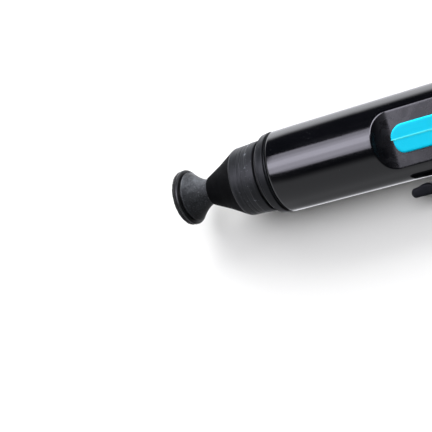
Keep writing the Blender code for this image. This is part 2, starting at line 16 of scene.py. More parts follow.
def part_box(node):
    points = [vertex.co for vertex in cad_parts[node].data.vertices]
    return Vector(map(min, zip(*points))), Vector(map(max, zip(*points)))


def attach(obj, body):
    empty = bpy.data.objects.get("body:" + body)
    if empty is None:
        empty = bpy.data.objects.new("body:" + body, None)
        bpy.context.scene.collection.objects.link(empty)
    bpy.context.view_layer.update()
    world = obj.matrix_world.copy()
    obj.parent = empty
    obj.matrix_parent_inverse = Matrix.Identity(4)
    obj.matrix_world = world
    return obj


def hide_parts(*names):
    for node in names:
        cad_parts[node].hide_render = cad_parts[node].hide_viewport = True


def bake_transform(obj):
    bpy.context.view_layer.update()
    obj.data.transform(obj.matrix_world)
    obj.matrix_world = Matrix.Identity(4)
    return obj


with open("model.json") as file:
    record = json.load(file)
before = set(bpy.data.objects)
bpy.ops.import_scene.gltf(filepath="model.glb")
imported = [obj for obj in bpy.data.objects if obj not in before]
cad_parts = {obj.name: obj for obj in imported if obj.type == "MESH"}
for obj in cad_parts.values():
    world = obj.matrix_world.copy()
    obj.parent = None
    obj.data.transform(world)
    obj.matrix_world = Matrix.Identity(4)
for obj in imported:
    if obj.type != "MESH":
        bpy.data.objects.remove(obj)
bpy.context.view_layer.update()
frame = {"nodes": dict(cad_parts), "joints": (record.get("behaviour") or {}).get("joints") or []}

MM = 0.001
SEED = 7
AROUND = 160
FINE_AROUND = 96
COARSE_AROUND = 48
FELT_AROUND = 220
FILLET_STEPS = 5
LEAST_TANGENT = 0.2
FILLET_LIMIT = 0.48
SHARP_ANGLE = math.radians(35)
TINY = 1e-9
MERGE_DISTANCE = 1e-8
SEAM_DISTANCE = 2e-7

# The pen's own space, from the joints' axes and the barrel's front face.
JOINTS = {joint["name"]: joint for joint in frame["joints"]}
PIVOT = Vector(JOINTS["tip_tilt"]["pos_m"])
SIDE = Vector(JOINTS["tip_tilt"]["axis"])
UP = Vector(JOINTS["tip_swing"]["axis"])
ORIGIN = Vector((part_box("barrel")[0].x, PIVOT.y, PIVOT.z))
PEN = Matrix.Translation(ORIGIN) @ Matrix((Vector((1, 0, 0)), SIDE, UP)).transposed().to_4x4()


def stations(node):
    """A CAD node's two ends along the pen."""
    low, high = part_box(node)
    return low.x - ORIGIN.x, high.x - ORIGIN.x


def outer_radius(node):
    low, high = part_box(node)
    return (high.z - low.z) / 2


def in_row(station, side=0.0, height=0.0):
    """A point of the pen's space in the row frame."""
    return tuple(PEN @ Vector((station, side, height)))


def shares(steps):
    """Even shares from 0 to 1."""
    return [step / steps for step in range(steps + 1)]


def turns(count):
    """Even angles round a circle."""
    return [math.tau * step / count for step in range(count)]


def clamp(value):
    return max(0.0, min(1.0, value))


# -------------------- Meshes

def bent(start, corner, end, share):
    """A point of the curve that rounds off a corner."""
    return start.lerp(corner, share).lerp(corner.lerp(end, share), share)


def rounded(corners):
    """A closed outline from (station, radius, fillet) corners."""
    outline = []
    for index, (station, radius, fillet) in enumerate(corners):
        corner = Vector((station, radius))
        if fillet <= 0.0:
            outline.append(corner)
            continue
        back = Vector(corners[index - 1][:2]) - corner
        ahead = Vector(corners[(index + 1) % len(corners)][:2]) - corner
        reach = fillet / max(math.tan(back.angle(ahead) / 2), LEAST_TANGENT)
        start = corner + back.normalized() * min(reach, FILLET_LIMIT * back.length)
        end = corner + ahead.normalized() * min(reach, FILLET_LIMIT * ahead.length)
        outline += [bent(start, corner, end, share) for share in shares(FILLET_STEPS)]
    return outline


def add_rows(bm, rows, closed=True):
    """Adds rows of points with faces between them, and returns the rows of vertices."""
    made = [[bm.verts.new(point) for point in row] for row in rows]
    for row, following in zip(made, made[1:]):
        for index in range(len(row) if closed else len(row) - 1):
            after = (index + 1) % len(row)
            bm.faces.new((row[index], row[after], following[after], following[index]))
    return made


def add_skin(bm, rows):
    """Adds a closed skin over rows of points."""
    made = add_rows(bm, rows)
    bm.faces.new(list(reversed(made[0])))
    bm.faces.new(made[-1])


def skinned(rows):
    bm = bmesh.new()
    add_skin(bm, rows)
    return bm


def turned_mesh(corners, around=AROUND):
    """Spins a closed outline of (station, radius, fillet) corners about the pen's axis."""
    bm = bmesh.new()
    columns = []
    for station, radius in rounded(corners):
        if radius < TINY:
            columns.append([bm.verts.new((station, 0.0, 0.0))] * around)
            continue
        columns.append([bm.verts.new((station, radius * math.sin(a), radius * math.cos(a)))
                        for a in turns(around)])
    for index, column in enumerate(columns):
        following = columns[(index + 1) % len(columns)]
        if column[0] is column[1] and following[0] is following[1]:
            continue
        for step in range(around):
            after = (step + 1) % around
            face = (column[step], column[after], following[after], following[step])
            bm.faces.new(list(dict.fromkeys(face)))
    return bm


def new_object(name, data):
    item = bpy.data.objects.new(name, data)
    bpy.context.collection.objects.link(item)
    return item


def shade(mesh, sharp):
    """Shades a mesh smooth but for its sharp edges."""
    mesh.shade_smooth()
    mesh.set_sharp_from_angle(angle=sharp)


def to_object(name, bm, finish=None, sharp=SHARP_ANGLE):
    """Turns a mesh drawn in the pen's space into an object with one of the materials."""
    bmesh.ops.remove_doubles(bm, verts=bm.verts, dist=MERGE_DISTANCE)
    bmesh.ops.recalc_face_normals(bm, faces=bm.faces)
    bmesh.ops.transform(bm, matrix=PEN, verts=bm.verts)
    mesh = bpy.data.meshes.new(name)
    bm.to_mesh(mesh)
    bm.free()
    shade(mesh, sharp)
    if finish:
        mesh.materials.append(MATERIALS[finish])
    return new_object(name, mesh)


def apply_booleans(item, cutters, operation="DIFFERENCE"):
    """Combines an object with others, keeps the result in its mesh and removes the others."""
    for cutter in cutters:
        modifier = item.modifiers.new(cutter.name, "BOOLEAN")
        modifier.operation = operation
        modifier.solver = "EXACT"
        modifier.object = cutter
    bpy.context.view_layer.update()
    graph = bpy.context.evaluated_depsgraph_get()
    result = bpy.data.meshes.new_from_object(item.evaluated_get(graph))
    item.modifiers.clear()
    material = item.data.materials[0]
    item.data = result
    result.materials.clear()
    result.materials.append(material)
    shade(result, SHARP_ANGLE)
    for cutter in cutters:
        bpy.data.objects.remove(cutter, do_unlink=True)


def place(item, body, node):
    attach(item, body)
    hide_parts(node)


def turned_piece(name, corners, finish, node, body="pen_body", around=AROUND):
    """A turned piece with its finish, which replaces a CAD node and rides on the pen body if no other
    body is given.
    """
    place(to_object(name, turned_mesh(corners, around), finish), body, node)


# -------------------- Materials

class Nodes:
    """A node tree built by short calls, whose values are numbers, vectors or sockets."""

    def __init__(self, tree):
        self.nodes = tree.nodes
        self.links = tree.links

    def feed(self, socket, value):
        if isinstance(value, bpy.types.NodeSocket):
            self.links.new(value, socket)
        else:
            socket.default_value = value

    def add(self, kind, inputs, **settings):
        node = self.nodes.new("ShaderNode" + kind)
        for name, value in settings.items():
            setattr(node, name, value)
        for name, value in inputs.items():
            self.feed(node.inputs[name], value)
        return node

    def math(self, operation, *values):
        return self.add("Math", dict(enumerate(values)), operation=operation).outputs[0]

    def vector_math(self, operation, *values):
        """A vector, or the value of an operation that gives a number."""
        outputs = self.add("VectorMath", dict(enumerate(values)), operation=operation).outputs
        return outputs["Value" if operation in ("LENGTH", "DOT_PRODUCT") else "Vector"]

    def axes(self, vector):
        return self.add("SeparateXYZ", {0: vector}).outputs

    def ramp(self, value, low, high, start=0.35, end=0.65, curve="LINEAR"):
        """Maps a value to the range from low to high, over a part of its own range."""
        limits = {"From Min": start, "From Max": end, "To Min": low, "To Max": high}
        return self.add("MapRange", {"Value": value, **limits},
                        interpolation_type=curve).outputs["Result"]

    def blend_values(self, factor, first, second):
        return self.add("Mix", {0: factor, 2: first, 3: second}).outputs[0]


class Shader(Nodes):
    """A Principled material on its object's own coordinates, which are the row frame's at rest."""

    def __init__(self, name, **sockets):
        self.material = bpy.data.materials.new(name)
        self.material.use_nodes = True
        super().__init__(self.material.node_tree)
        self.surface = self.nodes["Principled BSDF"].inputs
        for socket, value in sockets.items():
            self.surface[socket.replace("_", " ")].default_value = value
        self.place = self.add("TexCoord", {}).outputs["Object"]

    def stretched(self, scale, spin=(0.0, 0.0, 0.0)):
        inputs = {"Vector": self.place, "Scale": scale, "Rotation": spin}
        return self.add("Mapping", inputs).outputs["Vector"]

    def noise(self, scale, detail=4.0, roughness=0.55, distortion=0.0, vector=None):
        inputs = {"Vector": vector or self.place, "Scale": scale, "Detail": detail,
                  "Roughness": roughness, "Distortion": distortion}
        return self.add("TexNoise", inputs).outputs["Fac"]

    def lines(self, along, around, detail):
        """Noise drawn out into lines: its scale along the pen, and across it."""
        return self.noise(1.0, detail, vector=self.stretched((along, around, around)))

    def specks(self, scale, threshold, most=1.0, softness=0.03):
        """Small scattered spots on a ground of 0."""
        return self.ramp(self.noise(scale, 2.0), 0.0, most, threshold, threshold + softness)

    def mix(self, factor, *colours):
        """Mixes two colours, each a triple or a socket."""
        first, second = ((*c, 1.0) if isinstance(c, tuple) else c for c in colours)
        return self.add("Mix", {0: factor, 6: first, 7: second}, data_type="RGBA").outputs[2]

    def tones(self, value, dark, light, start=0.35, end=0.65):
        """Goes from one colour to another as a value rises."""
        return self.mix(self.ramp(value, 0.0, 1.0, start, end), dark, light)

    def from_axis(self):
        """Position from the start of the pen's axis."""
        return self.vector_math("SUBTRACT", self.place, ORIGIN)

    def off_axis(self):
        """Distance from the pen's axis."""
        across = self.vector_math("MULTIPLY", self.from_axis(), (0.0, 1.0, 1.0))
        return self.vector_math("LENGTH", across)

    def across(self):
        """Distance from the pen's middle plane, along its side axis."""
        return self.vector_math("DOT_PRODUCT", self.from_axis(), SIDE)

    def station(self):
        """Row X, which runs along the pen."""
        return self.axes(self.place)[0]

    def near_station(self, station, reach):
        """1 at a station of the pen, falling to 0 at some distance from it."""
        away = self.math("ABSOLUTE", self.math("SUBTRACT", self.station(), ORIGIN.x + station))
        return self.ramp(away, 1.0, 0.0, 0.0, reach)

    def finish(self, colour, rough, *bumps):
        """Sets colour, roughness and bumps of (height, depth, strength), each laid on the last."""
        self.feed(self.surface["Base Color"], colour)
        self.feed(self.surface["Roughness"], rough)
        normal = None
        for height, depth, strength in bumps:
            node = self.add("Bump", {"Height": height, "Distance": depth, "Strength": strength})
            if normal is not None:
                self.links.new(normal, node.inputs["Normal"])
            normal = node.outputs["Normal"]
            self.links.new(normal, self.surface["Normal"])
        return self.material


def gloss_black():
    """Polished black plastic, dulled by handling inside the finger recess."""
    shader = Shader("gloss_black")
    base = shader.tones(shader.noise(90.0), (0.0010, 0.0012, 0.0020), (0.0020, 0.0022, 0.0034))
    colour = shader.mix(shader.specks(2600.0, 0.75, 0.2), base, (0.20, 0.20, 0.22))
    hairline = shader.noise(900.0, vector=shader.stretched((0.12, 1.0, 1.0), (0.0, 0.2, 0.1)))
    polish = shader.ramp(hairline, 0.09, 0.17, 0.3, 0.75)
    dulled = shader.ramp(shader.noise(260.0, 5.0, distortion=1.0), 0.2, 0.34)
    outside = shader.ramp(shader.off_axis(), 0.0, 1.0, 7.98 * MM, 8.12 * MM)
    return shader.finish(colour, shader.blend_values(outside, dulled, polish),
                         (shader.noise(130.0, 1.0), 0.02 * MM, 0.35),
                         (shader.noise(2200.0, 2.0), 0.002 * MM, 0.35))


def satin_black(name="satin_black", base=(0.0018, 0.0019, 0.0023), lift=(0.0036, 0.0038, 0.0043),
                rough=(0.62, 0.72), shine=0.02):
    shader = Shader(name, Specular_IOR_Level=shine)
    ground = shader.tones(shader.noise(420.0, 6.0), base, lift)
    colour = shader.mix(shader.specks(2300.0, 0.72, 0.25), ground, (0.08, 0.08, 0.09))
    return shader.finish(colour, shader.ramp(shader.noise(700.0), *rough),
                         (shader.noise(5200.0, 3.0), 0.006 * MM, 0.5))


def clip_plastic():
    return satin_black("clip_plastic", (0.0035, 0.0042, 0.0065), (0.0065, 0.0074, 0.0105),
                       (0.4, 0.5), 0.08)


def matte_grey():
    """Moulded grey-black plastic with faint turning lines, and dust along its raised edge."""
    shader = Shader("matte_grey", Specular_IOR_Level=0.18)
    lines = shader.lines(2300.0, 60.0, 5.0)
    base = shader.tones(shader.noise(350.0, 6.0), (0.0066, 0.0073, 0.0088), (0.0138, 0.0150, 0.0176))
    streak = shader.mix(shader.ramp(lines, 0.0, 0.6, 0.52, 0.72), base, (0.026, 0.028, 0.032))
    along_edge = shader.math("MULTIPLY", shader.specks(1500.0, 0.62),
                             shader.near_station(-4.95 * MM, 0.5 * MM))
    dust = shader.math("MAXIMUM", shader.specks(1900.0, 0.68, 0.35), along_edge)
    return shader.finish(shader.mix(dust, streak, (0.11, 0.12, 0.14)),
                         shader.ramp(lines, 0.36, 0.5), (lines, 0.02 * MM, 0.35),
                         (shader.noise(4200.0, 3.0), 0.01 * MM, 0.5))


def collar_black():
    shader = Shader("collar_black", Specular_IOR_Level=0.17)
    base = shader.tones(shader.noise(500.0, 5.0), (0.0058, 0.0066, 0.0081), (0.0098, 0.0107, 0.0128))
    colour = shader.mix(shader.specks(2100.0, 0.7, 0.3), base, (0.10, 0.105, 0.12))
    return shader.finish(colour, shader.ramp(shader.lines(2600.0, 80.0, 4.0), 0.32, 0.44),
                         (shader.noise(4600.0, 3.0), 0.008 * MM, 0.5))


def powdery_rubber():
    """Grey rubber with a powdery bloom, and painted light that makes it paler towards the +Y side."""
    shader = Shader("grey_rubber", Specular_IOR_Level=0.1, Sheen_Weight=0.3, Sheen_Roughness=0.4)
    bloom = shader.noise(330.0, 9.0, 0.72, 0.4)
    grain = shader.noise(3600.0, 3.0)
    # Painted light: the powdery bloom is made paler towards the +Y side, where the light falls.
    painted_top_light = shader.ramp(shader.across(), 0.22, 1.0, 0.7 * MM, 2.6 * MM)
    bloom_and_painted_light = shader.math("MULTIPLY", shader.ramp(bloom, 0.0, 1.0, 0.36, 0.66), painted_top_light)
    base = shader.mix(bloom_and_painted_light, (0.013, 0.0142, 0.0163), (0.13, 0.138, 0.156))
    colour = shader.mix(shader.ramp(grain, 0.0, 0.45, 0.55, 0.75), base, (0.15, 0.16, 0.18))
    return shader.finish(colour, shader.ramp(bloom, 0.5, 0.68),
                         (bloom, 0.05 * MM, 0.3), (grain, 0.02 * MM, 0.6))


def black_rubber():
    shader = Shader("black_rubber")
    grain = shader.noise(3000.0, 3.0)
    return shader.finish(shader.tones(grain, (0.006, 0.006, 0.006), (0.013, 0.013, 0.013)),
                         shader.ramp(grain, 0.6, 0.8), (grain, 0.01 * MM, 0.5))


def felt():
    shader = Shader("felt", Sheen_Weight=0.12, Sheen_Roughness=0.6, Specular_IOR_Level=0.25)
    clumps = shader.noise(1100.0, 8.0, 0.75, 1.0)
    return shader.finish(shader.tones(clumps, (0.002, 0.002, 0.0023), (0.022, 0.0215, 0.024)),
                         shader.ramp(clumps, 0.88, 1.0), (clumps, 0.12 * MM, 0.8))


def rim_plastic():
    shader = Shader("rim_plastic", Specular_IOR_Level=0.35)
    scuffs = shader.noise(1500.0, 5.0)
    colour = shader.tones(scuffs, (0.010, 0.0104, 0.0116), (0.036, 0.038, 0.042), 0.5, 0.75)
    return shader.finish(colour, shader.ramp(scuffs, 0.3, 0.45), (scuffs, 0.015 * MM, 0.4))


def cyan_plastic():
    """Cyan plastic, with a painted highlight that makes it paler along the ridge between its halves."""
    shader = Shader("cyan_plastic", Specular_IOR_Level=0.06)
    base = shader.tones(shader.noise(260.0, 5.0), (0.0, 0.62, 0.90), (0.0, 0.66, 0.95))
    off_ridge = shader.math("ABSOLUTE", shader.across())
    # Painted highlight: paler cyan along the ridge line.
    painted_ridge_highlight = shader.ramp(off_ridge, 1.0, 0.0, 0.09 * MM, 0.2 * MM)
    return shader.finish(shader.mix(painted_ridge_highlight, base, (0.10, 0.88, 1.0)),
                         shader.ramp(shader.noise(800.0), 0.3, 0.4),
                         (shader.noise(3800.0, 3.0), 0.005 * MM, 0.5))


def inner_plastic():
    shader = Shader("inner_plastic")
    flow = shader.lines(150.0, 900.0, 4.0)
    return shader.finish(shader.tones(flow, (0.035, 0.035, 0.038), (0.055, 0.055, 0.058)),
                         shader.ramp(flow, 0.42, 0.58), (shader.noise(4000.0), 0.008 * MM, 0.4))


def brushed_metal(name, dark, light, rough=(0.2, 0.36)):
    shader = Shader(name, Metallic=1.0)
    lines = shader.lines(5200.0, 160.0, 6.0)
    return shader.finish(shader.tones(lines, dark, light), shader.ramp(lines, *rough),
                         (lines, 0.01 * MM, 0.3))


def bristle_hair():
    """Dark hair whose tips are a little browner."""
    shader = Shader("bristle_hair", Sheen_Weight=0.15)
    strand = shader.lines(60.0, 5200.0, 2.0)
    base = shader.tones(strand, (0.012, 0.010, 0.009), (0.05, 0.038, 0.030), 0.3, 0.7)
    tips = shader.ramp(shader.station(), 0.0, 0.55, ORIGIN.x + 74.0 * MM, ORIGIN.x + 80.0 * MM)
    return shader.finish(shader.mix(tips, base, (0.10, 0.075, 0.055)),
                         shader.ramp(strand, 0.4, 0.6))


MATERIALS = {
    "felt": felt(),
    "rim": rim_plastic(),
    "grey_rubber": powdery_rubber(),
    "satin_black": satin_black(),
    "matte_grey": matte_grey(),
    "collar": collar_black(),
    "black_rubber": black_rubber(),
    "gloss_black": gloss_black(),
    "cyan_plastic": cyan_plastic(),
    "inner_plastic": inner_plastic(),
    "spring_steel": brushed_metal("spring_steel", (0.42, 0.42, 0.44), (0.66, 0.66, 0.68)),
    "ferrule_metal": brushed_metal("ferrule_metal", (0.26, 0.27, 0.29), (0.46, 0.47, 0.49), (0.3, 0.48)),
    "bristle_hair": bristle_hair(),
    "clip_plastic": clip_plastic(),
}


# -------------------- Barrel

BARREL_RADIUS = 8.2 * MM
BARREL_REAR = stations("barrel")[1]
BARREL_EDGE = 0.65 * MM
TRAVEL = JOINTS["brush_slide"]["range_m"][1]

# Finger recess, slot and bore
RECESS_FRONT = 21.85 * MM
RECESS_FLOOR = 6.15 * MM
RAMP_RADIUS = 4.0 * MM
RAMP_HEIGHT = RECESS_FLOOR + RAMP_RADIUS
RAMP_RUN = math.sqrt(RAMP_RADIUS ** 2 - (RAMP_HEIGHT - BARREL_RADIUS) ** 2)
RECESS_HALF_WIDTH = math.sqrt(BARREL_RADIUS ** 2 - RECESS_FLOOR ** 2)
RECESS_REAR = stations("slider_button")[1] + TRAVEL + 3.35 * MM
RIM_FILLET = 0.16 * MM
SLOT_HALF_WIDTH = 1.5 * MM
SLOT_FRONT = 27.6 * MM
SLOT_REAR = 55.4 * MM
SLOT_LEAD = 0.15 * MM
SLOT_END_STEPS = 24
BORE_FLAT = 4.9 * MM
BORE_FLAT_SPAN = (19.0 * MM, 68.0 * MM)
FRONT_BORE = (6.3 * MM, 10.0 * MM)
BORE_RADIUS = 7.0 * MM

# Patch of the barrel around the recess: how far it reaches, and how finely it is divided
PATCH_MARGIN = 3.0 * MM
PATCH_FRONT = RECESS_FRONT - PATCH_MARGIN
PATCH_REAR = RECESS_REAR + PATCH_MARGIN
PATCH_ANGLE = math.radians(62)
PATCH_END_STEPS = 56
PATCH_SIDE_STEPS = 72
PATCH_RINGS = 12
PATCH_GROWTH = 1.6
REST_STEPS = 120
RIM_SINK = 0.022 * MM
RIM_SINK_REACH = 0.9 * MM
FLOOR_ROWS = 18
SPINE_MARGIN = 0.25 * MM
SPINE_SHARE = 0.95
PROBE_SHARE = 0.01


def recess_height(station):
    """Height of the recess's floor and of the round ramp at each of its ends."""
    into = max(RECESS_FRONT + RAMP_RUN - station, station - RECESS_REAR + RAMP_RUN, 0.0)
    return RAMP_HEIGHT - math.sqrt(RAMP_RADIUS ** 2 - into ** 2)


def recess_outline():
    """Where the recess meets the barrel's surface, as stations and sides.

    It starts on the -Y side of the front end, so its points match those of the patch's border.
    """
    front, rear = RECESS_FRONT + RAMP_RUN, RECESS_REAR - RAMP_RUN
    front_end = []
    for share in shares(PATCH_END_STEPS):
        side = RECESS_HALF_WIDTH * math.sin(math.pi * (share - 0.5))
        surface = math.sqrt(BARREL_RADIUS ** 2 - side ** 2)
        into = math.sqrt(max(RAMP_RADIUS ** 2 - (RAMP_HEIGHT - surface) ** 2, 0.0))
        front_end.append((front - into, side))
    rear_end = [(front + rear - x, -y) for x, y in front_end]
    along = [(rear - front) * share for share in shares(PATCH_SIDE_STEPS)[:-1]]
    points = front_end[:-1] + [(front + x, RECESS_HALF_WIDTH) for x in along]
    points += rear_end[:-1] + [(rear - x, -RECESS_HALF_WIDTH) for x in along]
    return [Vector(point) for point in points]


def patch_border():
    """The patch's border on the unrolled barrel, point for point with the recess's outline."""
    half = BARREL_RADIUS * PATCH_ANGLE
    across = [half * (2 * share - 1) for share in shares(PATCH_END_STEPS)[:-1]]
    along = [(PATCH_REAR - PATCH_FRONT) * share for share in shares(PATCH_SIDE_STEPS)[:-1]]
    points = [(PATCH_FRONT, y) for y in across] + [(PATCH_FRONT + x, half) for x in along]
    points += [(PATCH_REAR, -y) for y in across] + [(PATCH_REAR - x, -half) for x in along]
    return [Vector(point) for point in points]


def in_recess(rim, share):
    """A point of the recess's surface, part of the way from its rim to its middle line."""
    low = RECESS_FRONT + RAMP_RUN + SPINE_MARGIN
    high = RECESS_REAR - RAMP_RUN - SPINE_MARGIN
    flat = rim.lerp(Vector((max(low, min(high, rim.x)), 0.0)), share)
    return Vector((flat.x, flat.y, recess_height(flat.x)))


def unrolled(point):
    """Station and arc length round the barrel."""
    return Vector((point.x, BARREL_RADIUS * math.atan2(point.y, point.z)))


def rolled(flat):
    angle = flat.y / BARREL_RADIUS
    return Vector((flat.x, BARREL_RADIUS * math.sin(angle), BARREL_RADIUS * math.cos(angle)))


def beside_rim(flat, rim_flat):
    """A point of the barrel's surface, which sinks softly towards the recess's rim."""
    near = max(0.0, 1.0 - (flat - rim_flat).length / RIM_SINK_REACH)
    point = rolled(flat)
    shrink = 1.0 - RIM_SINK * near * near / BARREL_RADIUS
    return Vector((point.x, point.y * shrink, point.z * shrink))


def rim_column(outline_point, rim, flat, outward, border_point):
    """Points from the recess's middle up to its rim, over the rounded edge and out to the border."""
    near = RIM_FILLET * PROBE_SHARE / (in_recess(outline_point, PROBE_SHARE) - rim).length
    foot = in_recess(outline_point, near)
    edge = beside_rim(flat, flat)
    shoulder_flat = flat + outward * RIM_FILLET
    shoulder = beside_rim(shoulder_flat, flat)
    column = [in_recess(outline_point, near + (SPINE_SHARE - near) * share)
              for share in reversed(shares(FLOOR_ROWS)[1:])]
    column += [bent(foot, edge, shoulder, share) for share in shares(FILLET_STEPS)]
    column += [beside_rim(shoulder_flat.lerp(border_point, share ** PATCH_GROWTH), flat)
               for share in shares(PATCH_RINGS)[1:]]
    return column


def patch_rows():
    """Closed rows from the recess's middle out to the patch's border."""
    outline, border = recess_outline(), patch_border()
    rims = [Vector((p.x, p.y, math.sqrt(BARREL_RADIUS ** 2 - p.y ** 2))) for p in outline]
    flats = [unrolled(rim) for rim in rims]
    columns = []
    for index, flat in enumerate(flats):
        tangent = flats[(index + 1) % len(flats)] - flats[index - 1]
        outward = Vector((-tangent.y, tangent.x)).normalized()
        if outward.dot(border[index] - flat) < 0.0:
            outward.negate()
        columns.append(rim_column(outline[index], rims[index], flat, outward, border[index]))
    return [list(row) for row in zip(*columns)]


def ring_angles():
    """Angles round the barrel from the button: the patch's own, then the rest of the circle."""
    patch = [PATCH_ANGLE * (2 * share - 1) for share in shares(PATCH_END_STEPS)[:-1]]
    rest = math.tau - 2 * PATCH_ANGLE
    return patch + [PATCH_ANGLE + rest * share for share in shares(REST_STEPS)[:-1]]


def barrel_ring(station, radius=BARREL_RADIUS):
    return [Vector((station, radius * math.sin(a), radius * math.cos(a))) for a in ring_angles()]


def end_profiles():
    """Stations and radii of the rings in front of the patch and behind it."""
    edge = []
    for share in shares(FILLET_STEPS):
        angle = math.pi / 2 * share
        edge.append((BARREL_EDGE * (1 - math.sin(angle)),
                     BARREL_RADIUS - BARREL_EDGE * (1 - math.cos(angle))))
    ahead = [(PATCH_FRONT * share, BARREL_RADIUS) for share in shares(4)[1:]]
    behind = [(PATCH_REAR + (BARREL_REAR - PATCH_REAR) * share, BARREL_RADIUS)
              for share in shares(2)[:-1]]
    return edge[::-1] + ahead, behind + [(BARREL_REAR - x, radius) for x, radius in edge]


def side_rows():
    """Rows round the barrel's back, from one side of the patch to the other."""
    rows = []
    for share in shares(PATCH_SIDE_STEPS):
        station = PATCH_FRONT + (PATCH_REAR - PATCH_FRONT) * share
        far_side = rolled(Vector((station, -BARREL_RADIUS * PATCH_ANGLE)))
        rows.append(barrel_ring(station)[PATCH_END_STEPS:] + [far_side])
    return rows


def barrel_body():
    """A closed rod with the recess in it, before its bore and slot are cut."""
    bm = bmesh.new()
    bm.faces.new(add_rows(bm, patch_rows())[0])
    for profile in end_profiles():
        add_rows(bm, [barrel_ring(*pair) for pair in profile])
    add_rows(bm, side_rows(), closed=False)
    bmesh.ops.remove_doubles(bm, verts=bm.verts, dist=SEAM_DISTANCE)
    bmesh.ops.holes_fill(bm, edges=[edge for edge in bm.edges if edge.is_boundary], sides=0)
    return bm


def bore_ring(station, radius=BORE_RADIUS, flat=BORE_RADIUS):
    """A ring of the bore, level above the flat."""
    angles = [angle + math.pi / FINE_AROUND for angle in turns(FINE_AROUND)]
    return [(station, radius * math.sin(a), min(radius * math.cos(a), flat)) for a in angles]


def bore_mesh():
    radius, step_at = FRONT_BORE
    low, high = BORE_FLAT_SPAN
    return skinned([
        bore_ring(-MM, radius), bore_ring(step_at, radius), bore_ring(step_at), bore_ring(low),
        bore_ring(low, flat=BORE_FLAT), bore_ring(high, flat=BORE_FLAT), bore_ring(high),
        bore_ring(BARREL_REAR + MM),
    ])


def slot_mesh():
    """The slot with a small lead-in round its upper edge."""
    rows = []
    for grow, height in ((0.0, BORE_FLAT - MM), (0.0, RECESS_FLOOR - SLOT_LEAD),
                         (SLOT_LEAD, RECESS_FLOOR), (SLOT_LEAD, RECESS_FLOOR + MM)):
        half = SLOT_HALF_WIDTH + grow
        row = []
        for centre, first in ((SLOT_REAR - SLOT_HALF_WIDTH, -math.pi / 2),
                              (SLOT_FRONT + SLOT_HALF_WIDTH, math.pi / 2)):
            for share in shares(SLOT_END_STEPS):
                angle = first + math.pi * share
                row.append((centre + half * math.cos(angle), half * math.sin(angle), height))
        rows.append(row)
    return skinned(rows)


def build_barrel():
    barrel = to_object("barrel_shell", barrel_body(), "gloss_black")
    apply_booleans(barrel, [to_object("bore", bore_mesh()), to_object("slot", slot_mesh())])
    place(barrel, "pen_body", "barrel")


# -------------------- Nose and cleaning tip

CONE_REAR = -8.9 * MM
CONE_REAR_RADIUS = 6.86 * MM
SPIGOT_RADIUS = 5.5 * MM
SLEEVE_RADIUS = 7.23 * MM
SLEEVE_TAPER = 0.05
SLEEVE_REAR = -3.2 * MM
SEAL_SECTION = 0.3 * MM
SEAL_AROUND = 16
NECK_RADIUS = 2.55 * MM
FLARE_POWER = 1.7
FLARE_STEPS = 24
FELT_RADIUS = outer_radius("cleaning_pad") + 0.04 * MM
FELT_FIBRES = 1400
FELT_FIBRE_RADIUS = 0.012 * MM
X_AXIS = Vector((1, 0, 0))


def build_cone():
    front, spigot_rear = stations("nose_cone")
    turned_piece("nose_cone_shell", [
        (front, 2.75 * MM, 0.08 * MM),
        (front, 3.0 * MM, 0.2 * MM),
        (-12.7 * MM, 4.78 * MM, 2.5 * MM),
        (CONE_REAR, CONE_REAR_RADIUS, 0.0),
        (CONE_REAR, SPIGOT_RADIUS, 0.0),
        (spigot_rear, SPIGOT_RADIUS, 0.1 * MM),
        (spigot_rear, 4.5 * MM, 0.0),
        (-9.6 * MM, 4.5 * MM, 0.3 * MM),
        (front + 1.4 * MM, 2.75 * MM, 0.3 * MM),
    ], "satin_black", "nose_cone")


def build_sleeve():
    """A slightly tapered sleeve with two shallow rings round it and a raised edge."""
    front, rear = CONE_REAR + 0.02 * MM, stations("nose_sleeve")[1]
    bore = 5.7 * MM
    corners = [(front, bore, 0.0), (front, CONE_REAR_RADIUS, 0.03 * MM),
               (front + 0.35 * MM, 6.99 * MM, 0.25 * MM)]
    for station, depth in ((-6.95 * MM, 0.03 * MM), (-6.1 * MM, 0.05 * MM)):
        radius = SLEEVE_RADIUS - SLEEVE_TAPER * (SLEEVE_REAR - station)
        corners += [(station - 0.16 * MM, radius, 0.06 * MM), (station, radius - depth, 0.1 * MM),
                    (station + 0.16 * MM, radius, 0.06 * MM)]
    corners += [(-5.05 * MM, 7.13 * MM, 0.05 * MM), (-4.9 * MM, 7.2 * MM, 0.06 * MM),
                (rear, SLEEVE_RADIUS, 0.2 * MM), (rear, bore, 0.0)]
    turned_piece("nose_sleeve_shell", corners, "matte_grey", "nose_sleeve")


def build_collar():
    """The collar, with a step behind its chamfer and a dark groove against the barrel."""
    front, rear = stations("collar_ring")
    bore, groove, step = 6.25 * MM, 7.75 * MM, front + 0.62 * MM
    turned_piece("collar_shell", [
        (front, bore, 0.0),
        (front, 7.42 * MM, 0.12 * MM),
        (front + 0.5 * MM, 7.92 * MM, 0.1 * MM),
        (step, 7.86 * MM, 0.04 * MM),
        (step + 0.12 * MM, 8.05 * MM, 0.06 * MM),
        (rear - 0.27 * MM, BARREL_RADIUS, 0.12 * MM),
        (rear - 0.21 * MM, groove, 0.05 * MM),
        (rear, groove, 0.0),
        (rear, bore, 0.0),
    ], "collar", "collar_ring")


def build_seal():
    middle = sum(stations("seal_ring")) / 2
    ring = [(middle + SEAL_SECTION * math.cos(a), 6.5 * MM + SEAL_SECTION * math.sin(a), 0.0)
            for a in turns(SEAL_AROUND)]
    turned_piece("seal_o_ring", ring, "black_rubber", "seal_ring")


